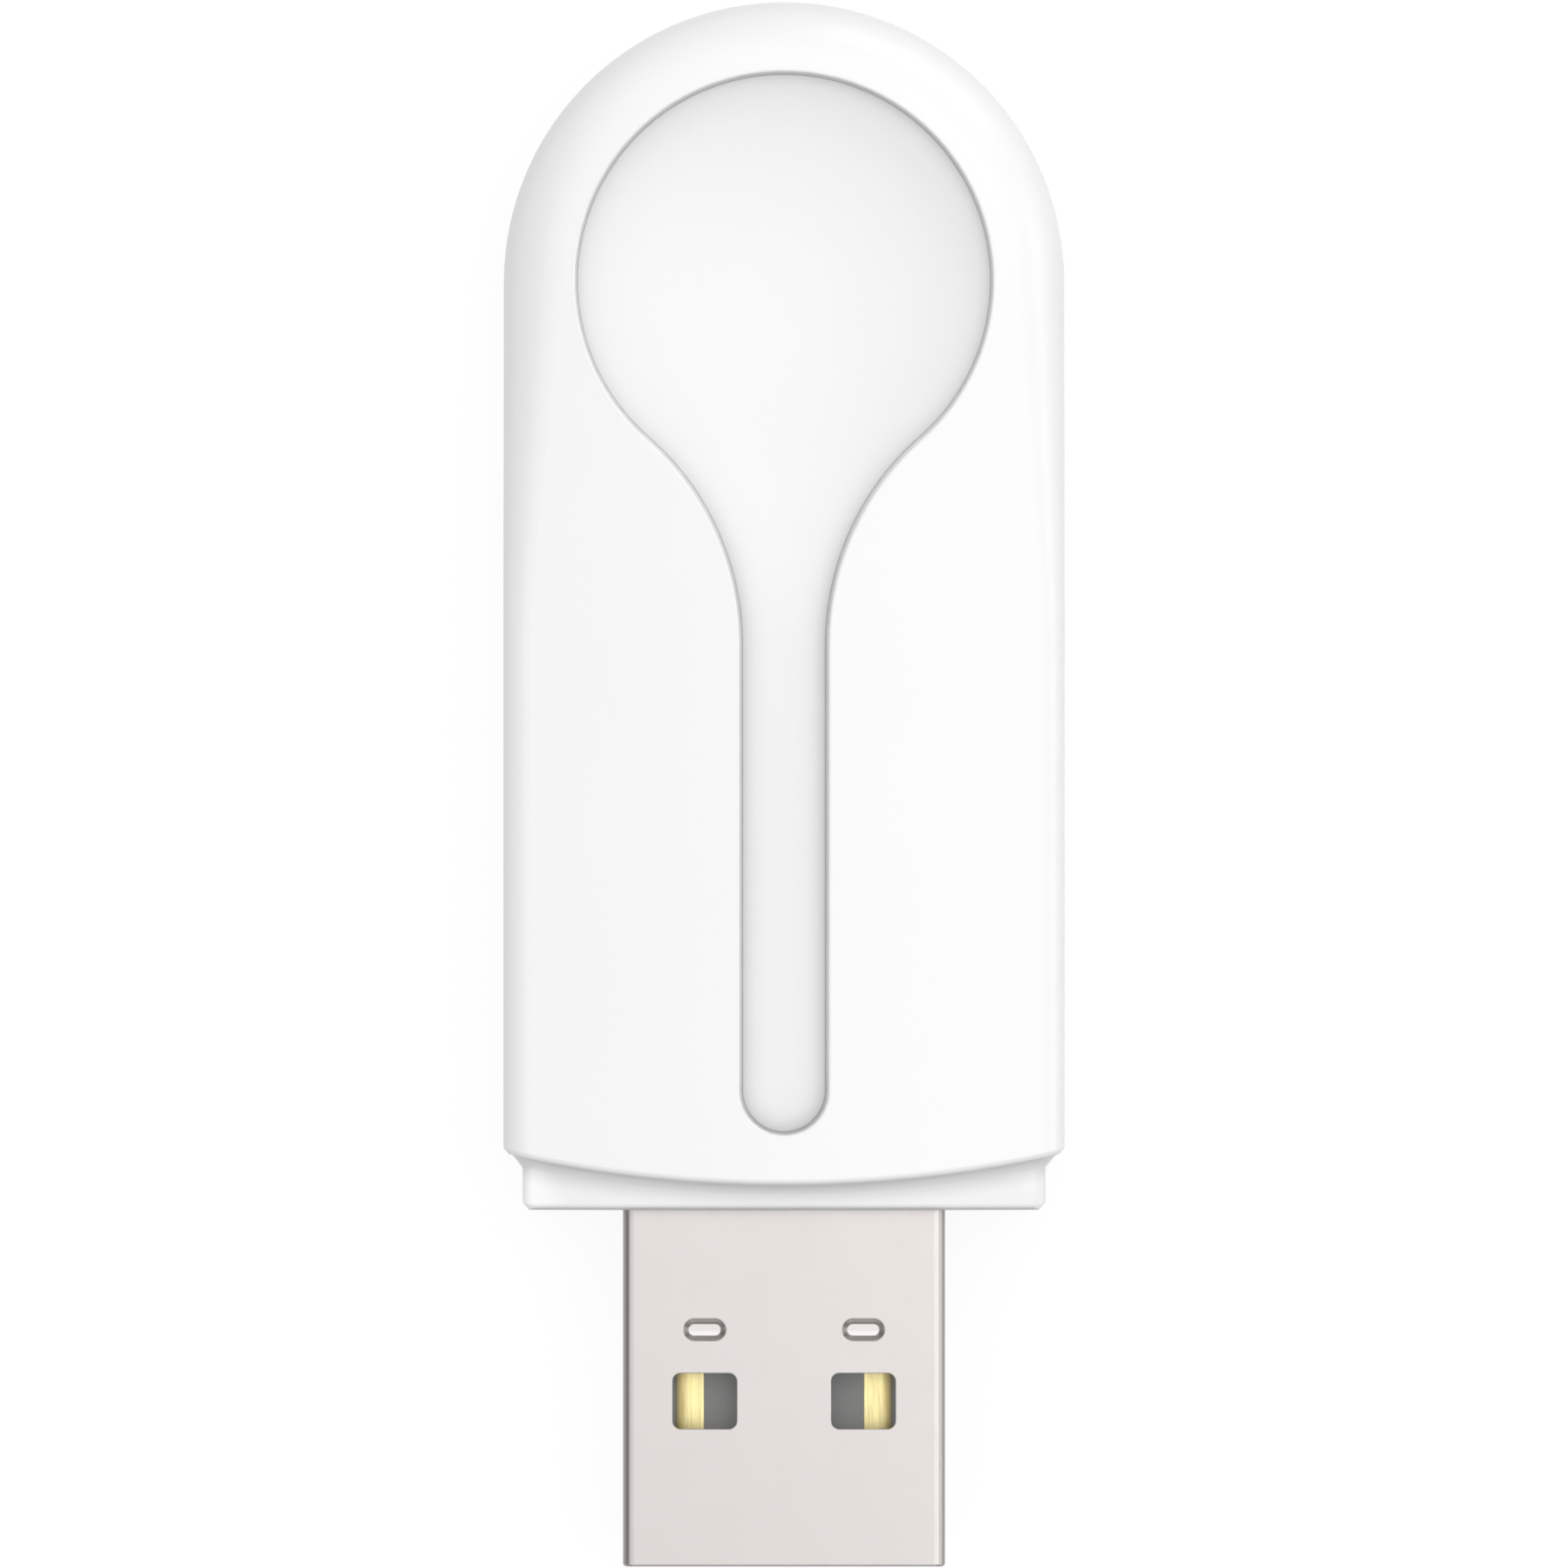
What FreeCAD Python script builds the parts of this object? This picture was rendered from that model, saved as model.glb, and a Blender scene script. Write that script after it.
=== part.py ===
import FreeCAD, Part
import math
import os
from FreeCAD import Vector

# A USB radio stick that lies on its back. All sizes are in millimetres.
# X runs across the stick, Y from the plug towards the round end, and Z up out of the front face.
# The pieces are laid out from the collar's end face, at Y = 0, and moved to the stick's middle at the end.

# Housing
housing_width = 20.9
housing_length = 45.0
housing_height = 8.8
crown_radius = 58.0
dome_edge_round = 2.6
side_edge_round = 1.2
edge_blend_length = 12.5
back_edge_round = 1.6
wall = 1.2
seam_depth = 0.12
seam_width = 0.10

# Shoulder and collar
shoulder_radius = 47.4
shoulder_reach = 0.95
shoulder_brow_chamfer = 0.2
shoulder_foot_chamfer = 0.4
collar_step = 0.72
collar_end_chamfer = 0.25
end_wall = 1.4
cavity_start = 3.4

# Keyhole-shaped recess in the front, its outline measured at the height of the crown
bowl_radius = 7.84
bowl_from_top = 10.43
stem_width = 3.30
stem_start = 2.8
neck_radius = 10.1
recess_draft = 8.0
stem_depth = 0.95
dish_radius = 60.0
dish_margin = 0.6
neck_rise_length = 6.0
recess_rim_chamfer = 0.1
recess_wall = 1.0

# Lip that joins the two shells
lip_height = 0.8
lip_thickness = 0.5
lip_clearance = 0.05
lip_start = 6.0
snap_radius = 0.2
snap_sink = 0.05
snap_length = 3.0
snap_rows = (12.0, 24.0)

# Posts, pins and ribs that hold the circuit board and the plug
post_x = 6.9
post_rows = (8.8, 27.0)
post_radius = 1.25
pin_radius = 0.65
pin_clearance = 0.1
pin_height = 0.8
rib_thickness = 0.8
rib_x = 7.9
rib_start = 11.0
rib_length = 13.0
cradle_width = 9.0
stop_clearance = 0.9

# USB plug, its axis on the parting plane
plug_axis_height = 4.4
plug_width = 12.0
plug_thickness = 4.5
plug_reach = 13.3
plug_seat_depth = 4.2
sheet = 0.3
bend_inner_radius = 0.1
plug_clearance = 0.1
mouth_chamfer = 0.08
window_width = 2.40
window_length = 2.08
window_corner = 0.3
window_spacing = 5.91
window_from_tip = 6.16
dent_width = 1.6
dent_length = 0.84
dent_from_tip = 8.82
dent_depth = 0.25
dent_slope = 0.2
leg_height = 1.2
leg_rise = 0.1
leg_length = 2.1
prong_width = 1.0
prong_length = 1.9
seam_gap = 0.06
dovetail_width = 0.8
dovetail_length = 1.3
dovetail_flare = 0.25
dovetails_from_tip = (3.4, 11.4)

# Insulator and contacts
insulator_clearance = 0.03
tongue_gap = 1.95
tip_setback = 0.35
tip_chamfer = 0.4
block_from_tip = 8.46
latch_pocket_depth = 0.5
latch_pocket_margin = 0.1
contact_width = 1.0
contact_thickness = 0.2
contact_proud = 0.04
contact_nose_radius = 0.5
inner_contact_x = 1.0
outer_contact_x = 3.5
inner_contact_from_tip = 2.4
outer_contact_from_tip = 1.4
tail_length = 2.3

# Circuit board
board_thickness = 1.0
board_gap = 0.35
board_front_gap = 0.2
copper = 0.05
slot_clearance = 0.1
trace_width = 0.7
antenna_foot = 25.4
antenna_start = 30.0
antenna_pitch = 2.0
antenna_rows = 5
antenna_half = 6.2
antenna_ground_x = -2.0
antenna_feed_x = 0.8

# Electronic parts: sizes, and places as (X, Y)
radio_chip_size = 5.0
radio_chip_height = 0.8
radio_chip_spot = (0.0, 17.6)
lead_pitch = 0.5
lead_width = 0.24
lead_length = 0.4
leads_a_side = 8
chip_standoff = 0.03
crystal_size = (2.5, 3.2)
crystal_height = 0.75
crystal_tray_height = 0.45
crystal_spot = (5.3, 17.6)
crystal_pad = 0.9
lid_margin = 0.2
regulator_size = (1.6, 2.9)
regulator_spot = (-5.2, 14.2)
regulator_rows = ((-0.95, 0.95), (-0.95, 0.0, 0.95))
diode_size = (1.3, 2.9)
diode_spot = (0.0, 10.2)
diode_rows = ((-0.95, 0.95), (-0.95, 0.95))
package_height = 1.0
gull_width = 0.4
gull_reach = 0.6
gull_thickness = 0.15
input_capacitor_size = (2.0, 1.25, 1.25)
input_capacitor_spot = (-4.6, 10.4)
bead_size = (1.6, 0.8, 0.8)
bead_spot = (-4.4, 8.4)
small_size = (1.0, 0.5, 0.5)
resistor_height = 0.35
cap_length = 0.25
cap_swell = 0.02
pad_margin = 0.12
solder_spread = 0.25
solder_height = 0.15
solder_slope = 0.18
solder_rise = 0.3
capacitor_spots = (
    (3.9, 14.6), (3.9, 20.6), (-3.6, 18.6), (-3.6, 19.8), (-3.6, 17.4),
    (6.4, 14.6), (6.4, 20.6), (-5.2, 16.6), (4.4, 10.6),
)
resistor_spots = ((1.0, 13.0), (-1.0, 13.0), (4.4, 12.2), (2.6, 13.0))
inductor_spots = ((0.8, 22.6), (0.8, 24.2), (2.4, 23.4))

# How near a point lies to a surface that it counts as on
touching = 0.001

# Values that follow from the sizes above
half_width = housing_width / 2
dome_centre = housing_length - half_width
blend_start = dome_centre - edge_blend_length
shoulder_centre = shoulder_reach + shoulder_radius
bowl_centre = housing_length - bowl_from_top
stem_floor = housing_height - stem_depth
dish_edge = bowl_radius - dish_margin
dish_slope = math.asin(dish_edge / dish_radius)
rise_radius = neck_rise_length / math.sin(dish_slope)
rise_end = dish_edge + neck_rise_length
dish_bottom = stem_floor - (rise_radius + dish_radius) * (1 - math.cos(dish_slope))
tip = -plug_reach
plug_top = plug_axis_height + plug_thickness / 2
plug_bottom = plug_axis_height - plug_thickness / 2
contact_top = plug_top - sheet - tongue_gap
board_top = contact_top - contact_thickness - copper
board_bottom = board_top - board_thickness
board_start = plug_seat_depth + board_front_gap
board_half = half_width - wall - board_gap
parts_seat = board_top + copper
contact_columns = {
    "contact_power": (outer_contact_x, outer_contact_from_tip),
    "contact_data_minus": (inner_contact_x, inner_contact_from_tip),
    "contact_data_plus": (-inner_contact_x, inner_contact_from_tip),
    "contact_ground": (-outer_contact_x, outer_contact_from_tip),
}


# Helpers for plain shapes

def arc(start, middle, end):
    return Part.Arc(start, middle, end).toShape()


def block(x0, x1, y0, y1, z0, z1):
    return Part.makeBox(x1 - x0, y1 - y0, z1 - z0, Vector(x0, y0, z0))


def upright(x, y, z, radius, height):
    return Part.makeCylinder(radius, height, Vector(x, y, z))


def joined(shapes):
    """One solid from pieces that meet."""
    return shapes[0].fuse(shapes[1:])


def merged(shapes):
    """As joined, with faces that carry on in one surface made one."""
    return joined(shapes).removeSplitter()


def edge_samples(edge):
    first, last = edge.ParameterRange
    return [edge.valueAt(first + (last - first) * share) for share in (0.02, 0.5, 0.98)]


def edges_that(shape, test):
    return [edge for edge in shape.Edges if all(test(point) for point in edge_samples(edge))]


def rounded_rectangle(width, length, corner, x, y, z):
    """Flat face parallel to XY with round corners, centred at (x, y, z)."""
    plate = block(x - width / 2, x + width / 2, y - length / 2, y + length / 2, z, z + 1)
    uprights = [edge for edge in plate.Edges if abs(edge.tangentAt(0).z) > 0.9]
    plate = plate.makeFillet(corner, uprights)
    return min(plate.Faces, key=lambda face: face.CenterOfMass.z)


def rounded_bar(width, thickness, corner, y0, y1):
    """Bar along Y around the plug's axis, with its four long edges rounded."""
    low = plug_axis_height - thickness / 2
    bar = block(-width / 2, width / 2, y0, y1, low, low + thickness)
    long_edges = [edge for edge in bar.Edges if abs(edge.tangentAt(0).y) > 0.9]
    return bar.makeFillet(corner, long_edges)


def obround(width, length, x, y, z):
    """Outline with two straight sides and two half-round ends, longest along X."""
    r = length / 2
    straight = width / 2 - r
    return Part.Wire([
        Part.makeLine(Vector(x - straight, y - r, z), Vector(x + straight, y - r, z)),
        arc(Vector(x + straight, y - r, z), Vector(x + straight + r, y, z), Vector(x + straight, y + r, z)),
        Part.makeLine(Vector(x + straight, y + r, z), Vector(x - straight, y + r, z)),
        arc(Vector(x - straight, y + r, z), Vector(x - straight - r, y, z), Vector(x - straight, y - r, z)),
    ])


def tapered_block(width, length, shrink, x, y, z, rise):
    """Four-sided block that narrows by shrink on each side over its rise."""
    def outline(inset, level):
        hx = width / 2 - inset
        hy = length / 2 - inset
        corners = [(-hx, -hy), (hx, -hy), (hx, hy), (-hx, hy), (-hx, -hy)]
        return Part.makePolygon([Vector(x + cx, y + cy, level) for cx, cy in corners])
    return Part.makeLoft([outline(0, z), outline(shrink, z + rise)], True, True)


def thick_line(points, width, z, height):
    """Flat strip of one width that follows the points, with mitred corners."""
    runs = zip(points, points[1:])
    headings = [math.atan2(y1 - y0, x1 - x0) for (x0, y0), (x1, y1) in runs]
    headings = headings[:1] + headings + headings[-1:]
    left = []
    right = []
    for (x, y), heading_in, heading_out in zip(points, headings, headings[1:]):
        turn = math.remainder(heading_out - heading_in, 2 * math.pi)
        side = heading_in + turn / 2 + math.pi / 2
        reach = width / 2 / math.cos(turn / 2)
        left.append(Vector(x + reach * math.cos(side), y + reach * math.sin(side), z))
        right.append(Vector(x - reach * math.cos(side), y - reach * math.sin(side), z))
    outline = left + right[::-1] + left[:1]
    return Part.Face(Part.makePolygon(outline)).extrude(Vector(0, 0, height))


# Housing: a crowned bar with a round end, its front edge rounded more around the end than along the sides

def housing_section(inset, edge_round, y):
    """Closed cross-section of the housing at one Y, drawn inset from its outer surface."""
    half = half_width - inset
    crown_r = crown_radius - inset
    crown_z = housing_height - crown_radius
    front_r = edge_round - inset
    back_r = back_edge_round - inset
    roll_x = half - front_r
    roll_z = crown_z + math.sqrt((crown_r - front_r) ** 2 - roll_x ** 2)
    lean = math.atan2(roll_z - crown_z, roll_x)

    def at(cx, cz, radius, angle):
        return Vector(cx + radius * math.cos(angle), y, cz + radius * math.sin(angle))

    def left(point):
        return Vector(-point.x, point.y, point.z)

    crown_end = at(0, crown_z, crown_r, lean)
    roll_middle = at(roll_x, roll_z, front_r, lean / 2)
    crown_middle = Vector(0, y, housing_height - inset)
    side_top = Vector(half, y, roll_z)
    side_foot = Vector(half, y, inset + back_r)
    back_middle = at(half - back_r, inset + back_r, back_r, -math.pi / 4)
    back_end = Vector(half - back_r, y, inset)
    return Part.Wire([
        Part.makeLine(left(back_end), back_end),
        arc(back_end, back_middle, side_foot),
        Part.makeLine(side_foot, side_top),
        arc(side_top, roll_middle, crown_end),
        arc(crown_end, crown_middle, left(crown_end)),
        arc(left(crown_end), left(roll_middle), left(side_top)),
        Part.makeLine(left(side_top), left(side_foot)),
        arc(left(side_foot), left(back_middle), left(back_end)),
    ])


def housing_bar(inset, start):
    """The crowned bar with its round end, from one Y to the end."""
    straight = Part.Face(housing_section(inset, side_edge_round, start))
    straight = straight.extrude(Vector(0, blend_start - start, 0))
    middle_round = (side_edge_round + dome_edge_round) / 2
    blend = Part.makeLoft([
        housing_section(inset, side_edge_round, blend_start),
        housing_section(inset, middle_round, blend_start + edge_blend_length / 2),
        housing_section(inset, dome_edge_round, dome_centre),
    ], True, False)
    end_face = Part.Face(housing_section(inset, dome_edge_round, dome_centre))
    right_side = block(0, half_width, dome_centre - wall, dome_centre + wall, 0, housing_height)
    half_face = end_face.common(right_side).Faces[0]
    dome = half_face.revolve(Vector(0, dome_centre, 0), Vector(0, 0, 1), 180)
    return merged([dome, blend, straight])


def collar_bar(inset):
    """The narrower collar in front of the shoulder."""
    section = Part.Face(housing_section(collar_step + inset, side_edge_round, inset))
    return section.extrude(Vector(0, cavity_start - inset, 0))


def outer_form(inset):
    """Bar with a curved shoulder at its open end, and the collar."""
    drum = upright(0, shoulder_centre, 0, shoulder_radius - inset, housing_height)
    return merged([housing_bar(inset, 0).common(drum), collar_bar(inset)])


def finished_outer_form():
    """The outer form with its edges broken: the shoulder's foot and brow, and the collar's end."""
    form = outer_form(0)
    collar = collar_bar(0)

    def on_shoulder(point):
        return abs(math.hypot(point.x, point.y - shoulder_centre) - shoulder_radius) < touching

    def away_from_collar(point):
        return collar.distToShape(Part.Vertex(point))[0]

    foot = edges_that(form, lambda p: on_shoulder(p) and away_from_collar(p) < touching)
    form = form.makeChamfer(shoulder_foot_chamfer, foot)
    brow = edges_that(form, lambda p: on_shoulder(p) and away_from_collar(p) > collar_step * 0.9)
    form = form.makeChamfer(shoulder_brow_chamfer, brow)
    end = edges_that(form, lambda p: abs(p.y) < touching)
    return form.makeChamfer(collar_end_chamfer, end)


def seam_groove():
    """Fine groove that runs around the housing where the two shells meet."""
    low = plug_axis_height - seam_width / 2
    slab = block(-half_width, half_width, 0, housing_length, low, low + seam_width)
    return slab.cut(outer_form(seam_depth))


def round_ended_plate(half, start, z, height):
    """Plate with straight sides and a half-round end, centred on the housing's round end."""
    side_end = Vector(half, dome_centre, z)
    other_side_end = Vector(-half, dome_centre, z)
    outline = Part.Wire([
        Part.makeLine(Vector(-half, start, z), Vector(half, start, z)),
        Part.makeLine(Vector(half, start, z), side_end),
        arc(side_end, Vector(0, dome_centre + half, z), other_side_end),
        Part.makeLine(other_side_end, Vector(-half, start, z)),
    ])
    return Part.Face(outline).extrude(Vector(0, 0, height))


def housing_cavity():
    """Room inside both shells: lower under the bowl, and narrower inside the collar."""
    bowl_ceiling = dish_bottom - recess_wall
    stem_ceiling = stem_floor - recess_wall
    bowl_room = round_ended_plate(half_width - wall, cavity_start, wall, bowl_ceiling - wall)
    stem_room = block(wall - half_width, half_width - wall, cavity_start, bowl_centre - rise_end,
                      bowl_ceiling, stem_ceiling)
    collar_wall = collar_step + wall
    collar_room = block(collar_wall - half_width, half_width - collar_wall, end_wall, cavity_start,
                        collar_wall, housing_height - collar_wall)
    return joined([bowl_room, stem_room, collar_room])


# Recess: a round dished bowl that runs out through a waisted neck into a long narrow stem

def recess_outline(inset, z):
    """Outline of the recess, drawn inset from its rim."""
    bowl_r = bowl_radius - inset
    stem = stem_width / 2 - inset
    neck_r = neck_radius + inset
    neck_x = stem_width / 2 + neck_radius
    neck_y = bowl_centre - math.sqrt((bowl_radius + neck_radius) ** 2 - neck_x ** 2)
    lean = math.atan2(neck_y - bowl_centre, neck_x)
    stem_end_y = stem_start + stem_width / 2
    neck_angle = math.pi + lean / 2

    bowl_foot = Vector(bowl_r * math.cos(lean), bowl_centre + bowl_r * math.sin(lean), z)
    neck_middle = Vector(neck_x + neck_r * math.cos(neck_angle), neck_y + neck_r * math.sin(neck_angle), z)
    stem_top = Vector(stem, neck_y, z)
    stem_foot = Vector(stem, stem_end_y, z)

    def left(point):
        return Vector(-point.x, point.y, point.z)

    return Part.Wire([
        arc(bowl_foot, Vector(0, bowl_centre + bowl_r, z), left(bowl_foot)),
        arc(left(bowl_foot), left(neck_middle), left(stem_top)),
        Part.makeLine(left(stem_top), left(stem_foot)),
        arc(left(stem_foot), Vector(0, stem_end_y - stem, z), stem_foot),
        Part.makeLine(stem_foot, stem_top),
        arc(stem_top, neck_middle, bowl_foot),
    ])


def above_recess_floor():
    """Everything over the recess floor: a dish that rises through the neck to the level stem."""
    ball_centre = Vector(0, bowl_centre, dish_bottom + dish_radius)
    ball = Part.makeSphere(dish_radius, ball_centre, Vector(0, 1, 0))
    top = 2 * housing_height
    dish = ball.common(upright(0, bowl_centre, 0, dish_edge, top))

    def rise_point(r):
        drop = rise_radius - math.sqrt(rise_radius ** 2 - (rise_end - r) ** 2)
        return Vector(r, bowl_centre, stem_floor - drop)

    foot = rise_point(dish_edge)
    near_top = Vector(dish_edge, bowl_centre, top)
    far = Vector(housing_length, bowl_centre, stem_floor)
    far_top = Vector(housing_length, bowl_centre, top)
    profile = Part.Wire([
        arc(foot, rise_point((dish_edge + rise_end) / 2), rise_point(rise_end)),
        Part.makeLine(rise_point(rise_end), far),
        Part.makeLine(far, far_top),
        Part.makeLine(far_top, near_top),
        Part.makeLine(near_top, foot),
    ])
    ring = Part.Face(profile).revolve(Vector(0, bowl_centre, 0), Vector(0, 0, 1), 360)
    return joined([ring, dish])


def recess_pocket():
    """The space of the recess, with drafted walls."""
    low = housing_height / 2
    high = housing_height + stem_depth
    draft = math.tan(math.radians(recess_draft))
    outlines = [recess_outline((housing_height - z) * draft, z) for z in (low, high)]
    walls = Part.makeLoft(outlines, True, True)
    return walls.common(above_recess_floor())


# Shells

def plug_passage():
    """Opening through the collar's end, which each shell holds one half of."""
    width = plug_width + 2 * plug_clearance
    thickness = plug_thickness + 2 * plug_clearance
    corner = bend_inner_radius + sheet + plug_clearance
    return rounded_bar(width, thickness, corner, -end_wall, plug_seat_depth - rib_thickness)


def post_places():
    return [(x, y) for y in post_rows for x in (-post_x, post_x)]


def lip_ring(outer_inset, start, height):
    """Open ring that runs up one side, around the round end and down the other, inside the wall."""
    outer = round_ended_plate(half_width - outer_inset, start, plug_axis_height, height)
    inner = round_ended_plate(half_width - wall, start - wall, plug_axis_height, height)
    return outer.cut(inner)


def snap_beads(radius):
    """Rounded beads on the outside of the lip, two on each side."""
    x = half_width - wall + lip_thickness - lip_clearance - snap_sink
    z = plug_axis_height + lip_height / 2
    beads = []
    for side in (-1, 1):
        for y in snap_rows:
            foot = Vector(side * x, y - snap_length / 2, z)
            beads.append(Part.makeCylinder(radius, snap_length, foot, Vector(0, 1, 0)))
    return beads


def front_height(x, y):
    """Height of the crowned front over one place."""
    off_axis = abs(x) if y < dome_centre else math.hypot(x, y - dome_centre)
    return housing_height - crown_radius + math.sqrt(crown_radius ** 2 - off_axis ** 2)


def front_with_recess(outer):
    """The outer form with the recess let into its front and the recess's rim broken."""
    form = outer.cut(recess_pocket())
    outline = Part.Face(recess_outline(-recess_rim_chamfer, 0)).extrude(Vector(0, 0, housing_height))

    def on_rim(point):
        on_front = abs(point.z - front_height(point.x, point.y)) < touching
        return on_front and outline.isInside(point, touching, True)

    return form.makeChamfer(recess_rim_chamfer, edges_that(form, on_rim))


def plug_rib(start, z0, z1):
    """Cross rib at the plug's inner end, starting that far from it."""
    y = plug_seat_depth + start
    return block(-cradle_width / 2, cradle_width / 2, y, y + rib_thickness, z0, z1)


def front_shell(outer, cavity):
    front_half = block(-half_width, half_width, 0, housing_length, plug_axis_height, housing_height)
    shell = front_with_recess(outer).cut(cavity).common(front_half)
    cradle = plug_rib(-rib_thickness, plug_top, housing_height)
    stop = plug_rib(0, plug_axis_height + stop_clearance, housing_height)
    posts = [upright(x, y, board_top, post_radius, housing_height) for x, y in post_places()]
    shell = joined([shell] + [piece.common(cavity) for piece in [cradle, stop] + posts])
    cuts = [seam_groove(), plug_passage()]
    cuts.append(lip_ring(wall - lip_thickness, lip_start - lip_clearance, lip_height + lip_clearance))
    cuts += snap_beads(snap_radius + lip_clearance)
    pin_room = pin_height + 2 * pin_clearance
    cuts += [upright(x, y, board_top, pin_radius + pin_clearance, pin_room) for x, y in post_places()]
    return shell.cut(cuts)


def rear_shell(outer, cavity):
    rear_half = block(-half_width, half_width, 0, housing_length, 0, plug_axis_height)
    shell = outer.cut(cavity).common(rear_half)
    inside = [plug_rib(-rib_thickness, 0, plug_bottom)]
    for side in (-1, 1):
        x = side * rib_x
        inside.append(block(x - rib_thickness / 2, x + rib_thickness / 2,
                            rib_start, rib_start + rib_length, 0, board_bottom))
    inside += [upright(x, y, 0, post_radius, board_bottom) for x, y in post_places()]
    inside += [upright(x, y, 0, pin_radius, board_top + pin_height) for x, y in post_places()]
    lip = lip_ring(wall - lip_thickness + lip_clearance, lip_start, lip_height)
    shell = joined([shell, lip] + snap_beads(snap_radius) + [piece.common(cavity) for piece in inside])
    return shell.cut([seam_groove(), plug_passage()])


# USB plug

def on_both_faces(shape):
    """The shape on the plug's front face and again on its back face."""
    return [shape, shape.mirror(Vector(0, 0, plug_axis_height), Vector(0, 0, 1))]


def dent(x):
    """Pressed dent with sloping walls, as a solid under the plug's front face."""
    y = tip + dent_from_tip
    rim = obround(dent_width, dent_length, x, y, plug_top)
    floor = obround(dent_width - 2 * dent_slope, dent_length - 2 * dent_slope, x, y, plug_top - dent_depth)
    return Part.makeLoft([rim, floor], True, True)


def dovetailed_seam():
    """The fine gap where the folded sheet meets itself, with dovetails that lock it."""
    points = [(0, tip - sheet)]
    for from_tip in dovetails_from_tip:
        y = tip + from_tip
        points.append((0, y))
        points.append((dovetail_width, y - dovetail_flare))
        points.append((dovetail_width, y + dovetail_length + dovetail_flare))
        points.append((0, y + dovetail_length))
    points.append((0, plug_seat_depth + sheet))
    return thick_line(points, seam_gap, plug_bottom - sheet, 3 * sheet)


def plug_leg(side):
    """Flat leg that runs back from a side wall and turns down through the board."""
    x0, x1 = sorted((side * plug_width / 2, side * (plug_width / 2 - sheet)))
    end = plug_seat_depth + leg_length
    foot = plug_axis_height + leg_rise
    arm = block(x0, x1, plug_seat_depth, end, foot, foot + leg_height)
    prong = block(x0, x1, end - prong_width, end, foot - prong_length, foot)
    return [arm, prong]


def plug_shell():
    outer = rounded_bar(plug_width, plug_thickness, bend_inner_radius + sheet, tip, plug_seat_depth)
    mouth = edges_that(outer, lambda p: abs(p.y - tip) < touching)
    outer = outer.makeChamfer(mouth_chamfer, mouth)
    hollow = rounded_bar(plug_width - 2 * sheet, plug_thickness - 2 * sheet, bend_inner_radius,
                         tip - sheet, plug_seat_depth + sheet)
    tube = outer.cut(hollow)
    dents = []
    windows = []
    for x in (-window_spacing / 2, window_spacing / 2):
        dents += on_both_faces(dent(x))
        window = rounded_rectangle(window_width, window_length, window_corner,
                                   x, tip + window_from_tip, plug_top - 2 * sheet)
        windows += on_both_faces(window.extrude(Vector(0, 0, 3 * sheet)))
    bumps = []
    for x in (-window_spacing / 2, window_spacing / 2):
        bump = dent(x)
        bump.translate(Vector(0, 0, -sheet))
        bumps += on_both_faces(bump)
    shell = merged([tube] + bumps + plug_leg(-1) + plug_leg(1))
    return shell.cut(dents + windows + [dovetailed_seam()])


def contact(x, from_tip):
    """Flat strip with its nose turned down into the tongue and its tail on the board."""
    start = tip + from_tip
    end = plug_seat_depth + tail_length
    x0 = x - contact_width / 2
    outer_r = contact_nose_radius
    inner_r = contact_nose_radius - contact_thickness
    low = contact_top - contact_thickness
    nose_y = start + outer_r
    nose_z = contact_top - outer_r
    slant = math.sqrt(0.5)

    def at(y, z):
        return Vector(x0, y, z)

    outer_middle = at(nose_y - outer_r * slant, nose_z + outer_r * slant)
    inner_middle = at(nose_y - inner_r * slant, nose_z + inner_r * slant)
    inner_start = at(start + contact_thickness, nose_z)
    outline = Part.Wire([
        arc(at(start, nose_z), outer_middle, at(nose_y, contact_top)),
        Part.makeLine(at(nose_y, contact_top), at(end, contact_top)),
        Part.makeLine(at(end, contact_top), at(end, low)),
        Part.makeLine(at(end, low), at(nose_y, low)),
        arc(at(nose_y, low), inner_middle, inner_start),
        Part.makeLine(inner_start, at(start, nose_z)),
    ])
    return Part.Face(outline).extrude(Vector(contact_width, 0, 0))


def plug_insulator(contacts):
    width = plug_width - 2 * (sheet + insulator_clearance)
    thickness = plug_thickness - 2 * (sheet + insulator_clearance)
    front = tip + tip_setback
    block_front = tip + block_from_tip
    tongue_top = contact_top - contact_proud
    body = rounded_bar(width, thickness, bend_inner_radius, front, plug_seat_depth)
    body = body.cut(block(-plug_width, plug_width, tip, block_front, tongue_top, plug_top))
    lead_in = edges_that(body, lambda p: abs(p.y - front) + abs(p.z - tongue_top) < touching)
    body = body.makeChamfer(tip_chamfer, lead_in)
    cuts = list(contacts)
    gap = insulator_clearance
    pocket_width = window_width + 2 * latch_pocket_margin
    pocket_length = window_length + 2 * latch_pocket_margin
    for x in (-window_spacing / 2, window_spacing / 2):
        pocket = rounded_rectangle(pocket_width, pocket_length, window_corner,
                                   x, tip + window_from_tip, plug_bottom)
        cuts.append(pocket.extrude(Vector(0, 0, sheet + latch_pocket_depth)))
        half_x = dent_width / 2 + gap
        half_y = dent_length / 2 + gap
        y = tip + dent_from_tip
        dent_room = block(x - half_x, x + half_x, y - half_y, y + half_y,
                          plug_top - sheet - dent_depth - gap, plug_top)
        cuts += on_both_faces(dent_room)
    return body.cut(cuts)


# Circuit board

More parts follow.
